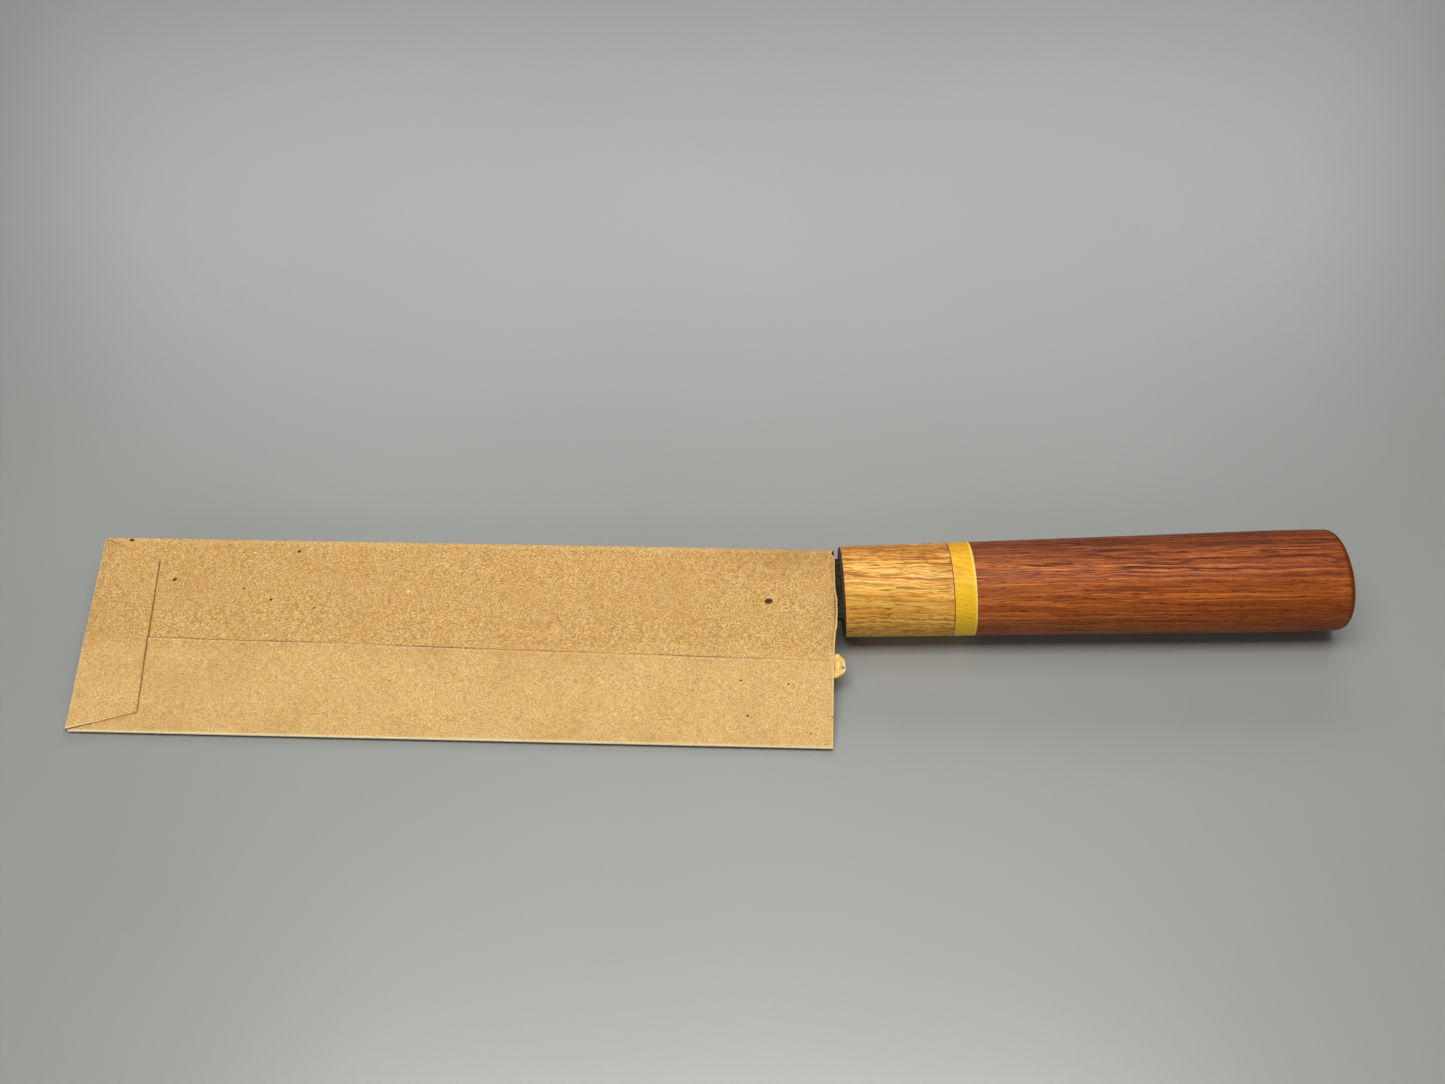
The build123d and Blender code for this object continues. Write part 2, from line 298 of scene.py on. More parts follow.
    def finish(self, colour, roughness, normal, **constants):
        """Links the look, sets the shader's plain numbers and returns the material."""
        self.put(self.bsdf.inputs["Base Color"], colour)
        self.put(self.bsdf.inputs["Roughness"], roughness)
        self.put(self.bsdf.inputs["Normal"], normal)
        for name, value in constants.items():
            self.bsdf.inputs[name.replace("_", " ")].default_value = value
        return self.material


def rgb(red, green, blue):
    """A display colour, 0 to 255, as the linear colour that shaders use."""
    return tuple(
        c / 12.92 if c <= 0.04045 else ((c + 0.055) / 1.055) ** 2.4
        for c in (red / 255, green / 255, blue / 255)
    )


def fibre_lines(shader, turn, fineness, seed):
    """Thin straight fibres that lie at an angle to the sheath, from 0 to 1."""
    along = shader.moved(shader.turned(shader.place, turn), (seed, 0.0, 0.0))
    field = shader.noise(shader.scaled(along, (0.55, 2.4, 1.2)), fineness, 1.0)
    ridge = shader.math("ABSOLUTE", shader.math("SUBTRACT", field, 0.5))
    broken = shader.noise(along, 0.7, 1.0)
    return shader.times(shader.band(ridge, 0.045, 0.012), shader.band(broken, 0.46, 0.58))


def kraft_paper():
    """Brown recycled board: speckled, with fine fibres, cloudy tone, rubbed folds with painted
    highlights, dark glue and painted shade in the foot of each lap, painted shade by the
    mouth's spine corner, and a near half painted a little lighter."""
    s = Shader("kraft_paper", BLADE_FRAME)
    pale = s.math("MAXIMUM", fibre_lines(s, 12, 1.0, 0.0), fibre_lines(s, -50, 1.1, 40.0))
    dark = s.math("MAXIMUM", fibre_lines(s, -16, 1.1, 80.0), fibre_lines(s, 64, 1.0, 120.0))
    cloud = s.noise(s.place, 0.06, 3.0, 0.55)
    speckle = s.noise(s.scaled(s.place, (0.9, 1.5, 1.0)), 2.3, 3.0, 0.74)
    base = s.ramp(
        speckle,
        (0.34, rgb(150, 108, 56)),
        (0.50, rgb(206, 159, 92)),
        (0.66, rgb(246, 206, 134)),
    )
    # painted light: the half of the sheath away from the spine fold, with the near panel, is painted lighter
    near_panel_light = s.band(s.part(s.place, "Y"), SPINE_FOLD_Y - 24, SPINE_FOLD_Y - 32, 0.0, 0.3)
    base = s.blend(near_panel_light, base, rgb(246, 206, 138))
    base = s.blend(s.band(cloud, 0.40, 0.66, 0.0, 0.30), base, rgb(192, 144, 78))
    # painted shade: the top near the mouth and the spine-side fold is painted darker where the panel curves away
    # from the light
    shade_by_mouth = s.times(
        s.band(s.part(s.place, "X"), MOUTH_X - 42, MOUTH_X - 4, 0.0, 0.5),
        s.band(s.part(s.place, "Y"), SPINE_FOLD_Y - 11, SPINE_FOLD_Y - 1),
    )
    base = s.blend(shade_by_mouth, base, rgb(150, 104, 52))
    base = s.blend(s.times(dark, 0.28), base, rgb(128, 88, 44))
    base = s.blend(s.times(pale, 0.34), base, rgb(250, 220, 160))
    # glue and painted shade: dark glue at the seam, and painted shade at the foot of the laps, under the folds,
    # behind the mouth's curled lip and inside the mouth
    grime = s.times(s.mark("grime"), s.band(speckle, 0.3, 0.6, 1.0, 0.6))
    base = s.blend(s.math("MAXIMUM", grime, mitre_shade(s, speckle)), base, rgb(96, 62, 28))
    # wear and painted highlight: lighter on the folds' outer sides, beside the edge-side crease, along the seam's
    # lip and at the cut mouth
    wear = s.times(s.mark("wear"), s.band(speckle, 0.3, 0.55, 0.65, 1.0))
    base = s.blend(wear, base, rgb(255, 238, 190))
    height = s.math("ADD", speckle, s.times(s.math("SUBTRACT", pale, dark), 0.25))
    rough = s.band(speckle, 0.3, 0.7, 0.82, 0.96)
    return s.finish(base, rough, s.bump(height, 0.05), Specular_IOR_Level=0.25)


def mitre_shade(shader, speckle):
    """Painted shade along the end flap's far mitre, where it lies on the spine-side fold."""
    from_end = shader.math("ADD", shader.part(shader.place, "X"), SHEATH_LENGTH - MOUTH_X)
    line = shader.times(from_end, -FLAP_FAR / FLAP_REACH)
    beyond = shader.math("SUBTRACT", shader.part(shader.place, "Y"), SPINE_FOLD_Y - 0.6)
    beyond = shader.math("SUBTRACT", beyond, line)
    here = shader.times(shader.band(beyond, -0.25, 0.0), shader.band(beyond, 0.5, 0.2))
    here = shader.times(here, shader.band(from_end, 9.0, 3.0))
    here = shader.times(here, shader.band(from_end, 0.4, 1.0))
    here = shader.times(here, shader.band(shader.part(shader.place, "Z"), 0.0, 0.2))
    return shader.times(here, shader.band(speckle, 0.35, 0.6, 0.75, 0.2))


def cut_paper():
    """The pale cut edge of the board, with torn fibres; darker where it is glued down and
    inside the mouth, from glue and painted shade.
    """
    s = Shader("cut_paper", BLADE_FRAME)
    fibre = s.noise(s.scaled(s.place, (2.2, 2.2, 6.0)), 1.0, 2.0)
    colour = s.ramp(fibre, (0.35, rgb(206, 168, 110)), (0.6, rgb(244, 218, 166)))
    # glue and painted shade on the cut edges
    colour = s.blend(s.mark("grime"), colour, rgb(110, 74, 36))
    return s.finish(colour, s.band(fibre, 0.3, 0.7, 0.85, 0.97), s.bump(fibre, 0.03))


def bark_fleck():
    """Dark bark specks in the board."""
    s = Shader("bark_fleck", BLADE_FRAME)
    tone = s.noise(s.place, 2.5, 2.0)
    colour = s.ramp(tone, (0.38, rgb(28, 16, 7)), (0.68, rgb(96, 64, 30)))
    return s.finish(colour, s.band(tone, 0.3, 0.7, 0.75, 0.9), s.bump(tone, 0.02))


def pale_fleck():
    """Bleached wood fibres in the board."""
    s = Shader("pale_fleck", BLADE_FRAME)
    tone = s.noise(s.place, 2.5, 2.0)
    colour = s.ramp(tone, (0.35, rgb(240, 208, 140)), (0.65, rgb(255, 242, 196)))
    return s.finish(colour, s.band(tone, 0.3, 0.7, 0.7, 0.85), s.bump(tone, 0.02))


def amber_glue():
    """Dried glue: honey coloured, a little translucent, with a skin that has wrinkled."""
    s = Shader("amber_glue", BLADE_FRAME)
    skin = s.noise(s.place, 1.1, 3.0, 0.55)
    colour = s.ramp(skin, (0.3, rgb(218, 164, 62)), (0.5, rgb(240, 198, 100)), (0.7, rgb(252, 226, 150)))
    near_paper = s.band(s.part(s.place, "X"), MOUTH_X + 0.9, MOUTH_X + 0.1, 0.0, 0.5)
    colour = s.blend(near_paper, colour, rgb(196, 134, 44))
    # painted highlight: the bead's outer tip, towards the handle, is painted paler
    rim = s.band(s.part(s.place, "X"), MOUTH_X + 1.7, MOUTH_X + 2.4, 0.0, 0.8)
    colour = s.blend(rim, colour, rgb(255, 244, 206))
    from_dent = s.distance(s.scaled(s.place, (1.0, 1.0, 0.0)), point(*BEAD_DENT, 0.0))
    colour = s.blend(s.band(from_dent, 0.55, 0.25, 0.0, 0.75), colour, rgb(110, 62, 14))
    return s.finish(
        colour,
        s.band(skin, 0.3, 0.7, 0.30, 0.48),
        s.bump(skin, 0.10),
        Subsurface_Weight=0.25,
        Subsurface_Radius=(0.0012, 0.0007, 0.0003),
        IOR=1.48,
    )


GRAIN_ROUGHNESS = 0.55  # how much the finer layers of the wood's noise count


def grain(shader, vector, stretch, detail=3.0):
    """Noise drawn out along the handle, from 0 to 1."""
    return shader.noise(shader.scaled(vector, stretch), 1.0, detail, GRAIN_ROUGHNESS)


def hair_lines(shader, vector, stretch, half_width):
    """Long thin lines, where stretched noise crosses its middle value, from 0 to 1."""
    field = grain(shader, vector, stretch, 1.0)
    away = shader.math("ABSOLUTE", shader.math("SUBTRACT", field, 0.5))
    return shader.band(away, half_width, half_width / 3)


def wood_finish(shader, colour, pores, lines, shine):
    """Oiled wood: pores are small hollows and duller than the wood between them."""
    height = shader.math("SUBTRACT", shader.times(lines, 0.3), pores)
    rough = shader.math("ADD", shader.times(pores, 0.15), shine)
    rough = shader.math("ADD", rough, shader.times(lines, 0.12))
    return shader.finish(colour, rough, shader.bump(height, 0.006), Specular_IOR_Level=0.22)


def round_light_and_shade(shader, colour, back, front, low):
    """Painted light and shade round the handle: its back, front and low sides are tinted as
    the lamps light them. Each of back, front and low is a colour and how much of it comes
    in on that side."""
    y, z = shader.part(shader.place, "Y"), shader.part(shader.place, "Z")
    colour = shader.blend(shader.band(y, 1.5, 7.0, 0.0, back[1]), colour, rgb(*back[0]))
    colour = shader.blend(shader.band(y, 0.0, -5.5, 0.0, front[1]), colour, rgb(*front[0]))
    return shader.blend(shader.band(z, 5.0, 2.0, 0.0, low[1]), colour, rgb(*low[0]))


def ferrule_wood():
    """Golden wood with fine straight streaks, brown dashes and a dark front face."""
    s = Shader("ferrule_wood", HANDLE_FRAME)
    place = s.wavy(s.turned(s.place, 4), (0.03, 0.05, 0.05), (0.0, 1.2, 1.2))
    bands = grain(s, place, (0.012, 0.30, 0.30), 1.0)
    streaks = grain(s, place, (0.035, 1.3, 1.3), 1.0)
    fine = grain(s, place, (0.09, 3.4, 3.4), 1.0)
    lines = grain(s, s.moved(place, (50, 0, 0)), (0.085, 2.3, 2.3), 1.0)
    dashes = grain(s, place, (0.30, 4.2, 4.2), 1.0)
    y, z = s.part(s.place, "Y"), s.part(s.place, "Z")
    many = s.math("MAXIMUM", s.band(y, -3.0, 3.0, 0.35, 0.95), s.band(z, 8.0, 5.5, 0.35, 0.9))
    tone = s.math("ADD", s.times(streaks, 0.6), s.times(fine, 0.4))
    colour = s.ramp(
        tone,
        (0.37, rgb(172, 100, 36)),
        (0.46, rgb(218, 150, 64)),
        (0.55, rgb(248, 186, 88)),
        (0.64, rgb(255, 212, 116)),
    )
    colour = s.blend(s.band(bands, 0.52, 0.36, 0.0, 0.4), colour, rgb(176, 126, 50))
    # painted light and shade round the ferrule
    colour = round_light_and_shade(s, colour, ((178, 96, 24), 0.34), ((255, 190, 76), 0.42), ((250, 186, 70), 0.50))
    dashed = s.times(s.band(dashes, 0.42, 0.35), many)
    hairs = hair_lines(s, s.moved(place, (20, 0, 0)), (0.05, 1.1, 1.1), 0.03)
    dark = s.math("MAXIMUM", s.band(lines, 0.40, 0.33, 0.0, 0.7), dashed)
    dark = s.math("MAXIMUM", dark, s.times(hairs, 0.45))
    colour = s.blend(s.times(dark, 0.92), colour, rgb(112, 56, 10))
    front = s.band(s.along(RING_LEAN), 0.42, 0.2, 0.0, 0.95)
    colour = s.blend(front, colour, rgb(44, 26, 10))
    return wood_finish(s, colour, dark, tone, 0.44)


def spacer_wood():
    """Bright yellow wood, close grained, with a pale rim towards the handle's body."""
    s = Shader("spacer_wood", HANDLE_FRAME)
    place = s.wavy(s.turned(s.place, 16), (0.2, 0.3, 0.3), (0.3, 0.5, 0.5))
    lines = grain(s, place, (0.18, 1.6, 1.6), 2.0)
    pores = s.band(grain(s, place, (0.16, 2.4, 2.4), 1.0), 0.34, 0.28)
    colour = s.ramp(lines, (0.3, rgb(222, 152, 14)), (0.5, rgb(242, 180, 34)), (0.7, rgb(252, 200, 56)))
    # painted light and shade round the spacer
    colour = round_light_and_shade(s, colour, ((206, 134, 14), 0.4), ((255, 208, 50), 0.5), ((255, 214, 48), 0.6))
    colour = s.blend(s.times(pores, 0.5), colour, rgb(180, 104, 10))
    rim = s.band(s.along(RING_LEAN), SPACER_END - 0.45, SPACER_END - 0.1, 0.0, 0.7)
    colour = s.blend(rim, colour, rgb(255, 226, 120))
    return wood_finish(s, colour, pores, lines, 0.42)


def body_wood():
    """Red-brown hardwood: fine dark lines along the back, slanting dashes low down, and a
    darker sawn end."""
    s = Shader("body_wood", HANDLE_FRAME)
    y, z = s.part(s.place, "Y"), s.part(s.place, "Z")
    place = s.wavy(s.turned(s.place, 1), (0.016, 0.04, 0.04), (0.0, 1.2, 1.2))
    bands = grain(s, place, (0.008, 0.22, 0.22), 1.0)
    streaks = grain(s, place, (0.014, 1.3, 1.3), 1.0)
    fine = grain(s, place, (0.05, 4.0, 4.0), 1.0)
    lines = grain(s, s.moved(place, (90, 0, 0)), (0.024, 2.8, 2.8), 1.0)
    dashes = grain(s, place, (0.36, 5.0, 5.0), 1.0)
    slanted = grain(s, s.turned(place, 14, "Y"), (0.18, 1.0, 3.8), 1.0)
    tone = s.math("ADD", s.times(streaks, 0.5), s.times(fine, 0.5))
    colour = s.ramp(
        tone,
        (0.37, rgb(108, 44, 12)),
        (0.46, rgb(154, 74, 26)),
        (0.55, rgb(184, 96, 38)),
        (0.63, rgb(220, 130, 60)),
    )
    colour = s.blend(s.band(bands, 0.52, 0.36, 0.0, 0.4), colour, rgb(116, 50, 18))
    # painted light and shade round the handle's body
    colour = round_light_and_shade(s, colour, ((80, 20, 0), 0.62), ((184, 96, 34), 0.2), ((160, 80, 24), 0.3))
    along = s.math("ADD", s.part(s.place, "X"), s.times(bands, 60.0))
    colour = s.blend(s.band(along, 110, 60, 0.0, 0.22), colour, rgb(186, 108, 60))
    colour = s.blend(s.band(along, 95, 150, 0.0, 0.32), colour, rgb(140, 62, 10))
    hairs = hair_lines(s, s.moved(place, (30, 0, 0)), (0.020, 1.1, 1.1), 0.035)
    dark_lines = s.math("MAXIMUM", s.band(lines, 0.43, 0.36, 0.0, 0.8), s.times(hairs, 0.9))
    dark_lines = s.times(dark_lines, s.band(y, -5.0, 1.0, 0.22, 1.0))
    dark_slants = s.times(s.band(slanted, 0.40, 0.33), s.band(z, 7.0, 3.0, 0.0, 0.8))
    dark = s.math("MAXIMUM", dark_lines, s.band(dashes, 0.41, 0.33, 0.0, 0.8))
    dark = s.math("MAXIMUM", dark, dark_slants)
    colour = s.blend(s.times(dark, 0.88), colour, rgb(54, 15, 2))
    end = s.band(s.along(BUTT_LEAN), BUTT_X - 1.9, BUTT_X - 1.2, 0.0, 0.6)
    colour = s.blend(end, colour, rgb(78, 32, 12))
    return wood_finish(s, colour, dark, tone, 0.44)


def dowel_wood():
    """Raw pale dowel, hidden in the handle."""
    s = Shader("dowel_wood", HANDLE_FRAME)
    lines = grain(s, s.place, (0.05, 1.2, 1.2))
    pores = s.band(grain(s, s.place, (0.4, 4.0, 4.0)), 0.36, 0.3)
    colour = s.ramp(lines, (0.35, rgb(186, 148, 98)), (0.65, rgb(220, 186, 134)))
    return wood_finish(s, colour, pores, lines, 0.6)


def dark_glue():
    """The thin hard glue lines between the woods."""
    s = Shader("dark_glue", HANDLE_FRAME)
    tone = s.noise(s.place, 1.2, 2.0)
    colour = s.ramp(tone, (0.35, rgb(70, 38, 8)), (0.7, rgb(128, 80, 22)))
    return s.finish(
        colour, s.band(tone, 0.3, 0.7, 0.4, 0.6), s.bump(tone, 0.02), Specular_IOR_Level=0.15
    )


def pale_glue():
    """The clean yellow glue line between the spacer and the handle's body."""
    s = Shader("pale_glue", HANDLE_FRAME)
    tone = s.noise(s.place, 1.2, 2.0)
    colour = s.ramp(tone, (0.35, rgb(240, 190, 90)), (0.7, rgb(255, 224, 130)))
    return s.finish(colour, s.band(tone, 0.3, 0.7, 0.4, 0.6), s.bump(tone, 0.02))


def resin():
    """Dark resin that fills the slot round the tang."""
    s = Shader("resin", HANDLE_FRAME)
    tone = s.noise(s.place, 0.8, 3.0)
    colour = s.ramp(tone, (0.35, rgb(20, 14, 8)), (0.7, rgb(58, 44, 24)))
    return s.finish(colour, s.band(tone, 0.3, 0.7, 0.35, 0.6), s.bump(tone, 0.08))


BEVEL_Y = -17.6  # the ground bevel starts here on the blade
CORE_Y = -28.2  # and the hard steel of the edge here


def forged_steel():
    """Black forge scale on the flats, a ground bevel below and a bright hard edge."""
    s = Shader("forged_steel", BLADE_FRAME)
    across = s.part(s.place, "Y")
    pits = s.noise(s.place, 0.9, 4.0, 0.65)
    scale = s.noise(s.place, 0.16, 3.0, 0.6)
    wander = s.noise(s.scaled(s.place, (0.12, 0.0, 0.0)), 1.0, 3.0, 0.6)
    drift = s.math("ADD", across, s.times(wander, 2.4))
    ground = s.band(drift, BEVEL_Y, BEVEL_Y - 0.7)
    core = s.band(drift, CORE_Y, CORE_Y - 1.0)
    scratch = s.noise(s.scaled(s.turned(s.place, 4), (0.08, 9.0, 9.0)), 1.0, 2.0)
    polish = s.noise(s.scaled(s.turned(s.place, 88), (0.12, 11.0, 11.0)), 1.0, 2.0)
    black = s.ramp(pits, (0.35, rgb(22, 22, 20)), (0.55, rgb(44, 43, 39)), (0.72, rgb(92, 88, 70)))
    black = s.blend(s.band(scale, 0.45, 0.68, 0.0, 0.5), black, rgb(58, 58, 58))
    neck = s.band(s.part(s.place, "X"), -6.0, -2.5, 0.0, 0.85)
    black = s.blend(neck, black, s.ramp(pits, (0.42, rgb(14, 12, 7)), (0.70, rgb(84, 78, 56))))
    iron = s.ramp(scratch, (0.35, rgb(126, 126, 126)), (0.65, rgb(176, 176, 174)))
    edge = s.ramp(polish, (0.35, rgb(176, 178, 180)), (0.65, rgb(214, 216, 218)))
    colour = s.blend(core, s.blend(ground, black, iron), edge)
    rough = s.math("SUBTRACT", s.band(pits, 0.3, 0.7, 0.5, 0.68), s.times(ground, 0.24))
    rough = s.math("SUBTRACT", rough, s.times(core, 0.08))
    scale_height = s.times(pits, s.band(ground, 0.0, 1.0, 1.0, 0.0))
    height = s.math("ADD", scale_height, s.times(scratch, 0.12))
    metal = s.math("SUBTRACT", s.band(ground, 0.0, 1.0, 0.55, 1.0), s.times(neck, 0.6))
    rough = s.math("ADD", rough, s.times(neck, 0.2))
    s.put(s.bsdf.inputs["Metallic"], metal)
    return s.finish(colour, rough, s.bump(height, 0.10), Specular_IOR_Level=0.3)


def floor_paint():
    """A plain pale grey table with a satin face."""
    s = Shader("floor_paint", Matrix.Identity(4) * MM)
    fine = s.noise(s.place, 0.6, 2.0)
    wide = s.noise(s.place, 0.01, 2.0)
    colour = s.ramp(wide, (0.3, rgb(148, 150, 147)), (0.7, rgb(152, 154, 151)))
    rough = s.band(fine, 0.3, 0.7, 0.28, 0.32)
    return s.finish(colour, rough, s.bump(fine, 0.01), Specular_IOR_Level=0.85)


# ---- The paper sheath. s is the distance from its mouth, w the distance from its spine-side
# fold, and heights are above the blade's middle plane, all in millimetres.
PANEL_SLOPE = (SPINE_FOLD_HALF - EDGE_FOLD_HALF) / SHEATH_WIDTH
LAP_HEIGHT = SPINE_FOLD_HALF - PANEL_SLOPE * LAP_START
LAP_SLOPE = (LAP_HEIGHT + LAYER - EDGE_FOLD_HALF) / (SHEATH_WIDTH - LAP_START)
SPINE_BEND = 1.75  # how far round the spine the fold reaches
SPINE_TUCK = 0.04  # that fold is this much thinner than the panels beside it
SPINE_BEND_CLOSED = 0.42  # how far round it reaches where the closed end is pressed flat
CREASE_BEND = 0.35  # and the sharp fold at the edge side
CREASE_INSET = 0.12  # which stays this far inside the sheath's width
CREASE_START = SHEATH_WIDTH - CREASE_INSET - PAPER / 2 - CREASE_BEND  # where that fold starts
LAST_ROW = SHEATH_LENGTH - PAPER / 2 - FOLD_ROUND
HALF_PAPER = PAPER / 2
SPINE_FOLD_MARKS = 0.08  # how strong the spine-side fold's wear and painted highlight, and the painted shade under it, are
LIP_REACH = 0.5  # the curled lip at the mouth stands out this far
LIP_DROP = 0.22  # and hangs down this far
ARC_STEPS = 12  # faces round each fold
SHARP_DEGREES = 50  # bends above this are cut edges and stay sharp
FILM_THICKNESS = 0.06  # of the glue film that is modelled in each gap

# a point of the sheet: side is "top", "under" or "fold"; its darkening from glue and painted shade, and its
# lightening from wear and painted highlight, are from 0 to 1
Spot = namedtuple("Spot", "w height side grime wear")


def point(s, w, height):
    """A point of the sheath in blade coordinates."""
    return (MOUTH_X - s, SPINE_FOLD_Y - w, height)


def pinch(s):
    """How far the sheath is pressed flat at s, from 0 to 1 at the closed end."""
    return min(1.0, max(0.0, (s - LAST_ROW + PINCH_LENGTH) / PINCH_LENGTH)) ** 5


def seam(s):
    """Where the near panel's cut edge lies on the far panel."""
    wander = 0.12 * smooth_noise(s / 9, 4.0) + 0.22 * smooth_noise(s / 34, 8.0)
    return mix(SEAM_AT_MOUTH, SEAM_AT_END, s / SHEATH_LENGTH) + wander


def swell(s, w):
    """The panels' gentle waves, which only stand outwards."""
    inside = smooth(1.5, 9.0, w) * smooth(0.5, 7.0, SHEATH_WIDTH - w)
    waves = 0.14 * (1.0 + smooth_noise(s / 38, w / 22, 3.0))
    at_mouth = 0.45 * math.exp(-max(0.0, s) / 13) * bell(13.0, 9.0, w)
    return inside * (1.0 - 0.7 * pinch(s)) * (waves + at_mouth)


def crease(w, lift):
    """How much the sharp edge-side fold draws a panel in; lift is CREASE_LIFT for the
    underside and minus that for the top."""
    return (EDGE_FOLD_HALF - CREASE_HALF + lift) * math.exp((w - SHEATH_WIDTH) / CREASE_REACH)


def far_height(s, w):
    """Outside of the far top panel, which runs on under the near one."""
    if w <= LAP_START:
        plain = SPINE_FOLD_HALF - PANEL_SLOPE * w
        flat = CLOSED_HALF
    else:
        plain = LAP_HEIGHT - LAP_SLOPE * (w - LAP_START) - crease(w, -CREASE_LIFT)
        flat = CLOSED_HALF - LAYER * (w - LAP_START) / (SHEATH_WIDTH - LAP_START)
    return mix(plain, flat, pinch(s)) + swell(s, w)


def near_height(s, w):
    """Outside of the near top panel."""
    plain = EDGE_FOLD_HALF + LAP_SLOPE * (SHEATH_WIDTH - w) - crease(w, -CREASE_LIFT)
    flat = CLOSED_HALF + LAYER * (SHEATH_WIDTH - w) / (SHEATH_WIDTH - LAP_START)
    return mix(plain, flat, pinch(s)) + swell(s, w)


def glue_gap(s):
    """How open the seam is along the sheath: least at both ends, from 0 to 1."""
    middle = smooth(4.0, 40.0, s) * smooth(SHEATH_LENGTH, 140.0, s)
    return middle * smooth(-0.55, 0.35, smooth_noise(s / 21, 2.0))


def lip_lift(s, w):
    """The near panel's cut edge stands up a little where the glue didn't reach."""
    return (0.02 + 0.10 * glue_gap(s)) * smooth(2.4, 0.0, w - seam(s))


def seam_glue_and_shade(s, w):
    """Dark glue and painted shade on the far panel at the foot of the near panel's lip."""
    return (0.25 + 0.6 * glue_gap(s)) * smooth(0.62, 0.3, seam(s) - w)


def under_depth(s, w):
    """Outside of the underside, as a positive depth."""
    plain = SPINE_FOLD_HALF - PANEL_SLOPE * w - crease(w, CREASE_LIFT)
    return mix(plain, CLOSED_HALF, pinch(s)) + 0.5 * swell(s, w)


def mouth_shift(w, height):
    """How far the cut mouth stands out at w; the top has a curled lip, and is cut back at
    the spine-side fold."""
    if height < 0:
        return 0.35 * bell(16.0, 12.0, w) - 0.12 + 0.05 * smooth_noise(w / 1.6, 5.0)
    out = 0.35 * bell(16.0, 12.0, w) + LIP_REACH * lip(w) - 0.12 - 0.1 * smooth(26.0, 50.0, w)
    return out - 0.8 * bell(1.5, 0.8, w) + 0.05 * smooth_noise(w / 1.6, 9.0)


def lip(w):
    """Where the top panel's cut edge is curled down at the mouth, from 0 to 1."""
    return smooth(10.5, 14.0, w) * smooth(23.0, 19.5, w)


def under_columns(s):
    """Columns of the underside panel at s, which the end flap shares."""
    flat = pinch(s)
    by_spine = [mix(2.5, 0.8, flat), mix(3.6, 2.0, flat), mix(5.2, 4.0, flat)]
    return by_spine + steps(7.0, 45.0, 19) + [46.8, 48.2, 49.0, CREASE_START]


def fold_arc(s, centre, reach, half, middle, wear):
    """A fold from the top round to the underside; reach is negative at the edge side and
    middle is the height about which it turns."""
    spots = []
    flat = pinch(s)
    for angle in steps(90, -90, ARC_STEPS):
        c, v = math.cos(math.radians(angle)), math.sin(math.radians(angle))
        height = middle * (1 - flat) + (mix(half, CLOSED_HALF, flat) - HALF_PAPER) * v
        # wear and a painted highlight on the fold's upper outer side; painted shade on its underside
        worn_and_lit = wear * smooth(0.0, 0.3, c) * smooth(-0.5, 0.1, v)
        shade = wear * smooth(-0.45, -0.8, v)
        spots.append(Spot(centre - reach * c, height, "fold", shade, worn_and_lit))
    return spots


def far_panel(s):
    """From the hidden lap edge up to the spine fold, with close columns at the seam."""
    # glue and painted shade on the far panel where it is hidden under the near panel
    spots = [Spot(w, far_height(s, w) - HALF_PAPER, "top", 1.0, 0.0) for w in (LAP_END, 38.0, 35.0, 32.5)]
    # dark glue and painted shade at the foot of the near panel's lip
    for away in (-1.6, -0.8, -0.3, 0.0, 0.2, 0.35, 0.5, 0.7, 1.0, 1.6, 2.6, 3.8):
        w = seam(s) - away
        spots.append(Spot(w, far_height(s, w) - HALF_PAPER, "top", seam_glue_and_shade(s, w), 0.0))
    by_spine = under_columns(s)[2::-1]
    for w in steps(21.5, 7.0, 9) + by_spine:
        spots.append(Spot(w, far_height(s, w) - HALF_PAPER, "top", 0.0, 0.0))
    return spots


def near_panel(s):
    """From the edge-side fold up to the cut edge of the seam."""
    bend = CREASE_START
    cut = seam(s)
    spots = []
    for w in [bend, bend - 0.3, bend - 0.7, 47.8, 46.0] + steps(44.0, cut + 4.5, 10):
        # wear and painted highlight beside the edge-side crease
        wear = 0.3 * smooth(0.35, 0.0, bend - w)
        spots.append(Spot(w, near_height(s, w) - HALF_PAPER, "top", 0.0, wear))
    for back in (3.2, 2.2, 1.5, 1.0, 0.6, 0.4, 0.25, 0.12, 0.0):
        w = cut + back
        # painted shade at the cut where the lip stands open; wear and painted highlight along the lip
        grime = 0.5 * glue_gap(s) * smooth(0.12, 0.0, back)
        wear = 0.12 * smooth(0.6, 0.3, back)
        spots.append(Spot(w, near_height(s, w) + lip_lift(s, w) - HALF_PAPER, "top", grime, wear))
    return spots


def tube_section(s):
    """The sheet's middle line round the blade at s, from the hidden lap edge over the
    spine fold, along the underside and over the near panel to its seam."""
    reach = mix(SPINE_BEND, SPINE_BEND_CLOSED, pinch(s))
    spine = fold_arc(s, HALF_PAPER + reach, reach, SPINE_FOLD_HALF - SPINE_TUCK, 0.0, SPINE_FOLD_MARKS)
    under = [Spot(w, HALF_PAPER - under_depth(s, w), "under", 0.0, 0.0) for w in under_columns(s)]
    sharp = fold_arc(s, CREASE_START, -CREASE_BEND, CREASE_HALF, CREASE_LIFT, edge_fold_marks(s))
    return far_panel(s) + spine + under + sharp[-2:0:-1] + near_panel(s)


def edge_fold_marks(s):
    """How strong the edge-side fold's rubbing and painted highlight on its upper side, and
    the painted shade under it, are at s: less towards the mouth.
    """
    return 0.7 + 0.25 * smooth(10.0, 90.0, s) + 0.1 * smooth_noise(s / 6, 1.0)


def flap_width(w, t):
    """Where the underside's column w has got to on the flap, t of the way to its edge."""
    columns = under_columns(LAST_ROW)
    share = (w - columns[0]) / (columns[-1] - columns[0])
    return mix(w, mix(FLAP_FAR, FLAP_NEAR, share), t)


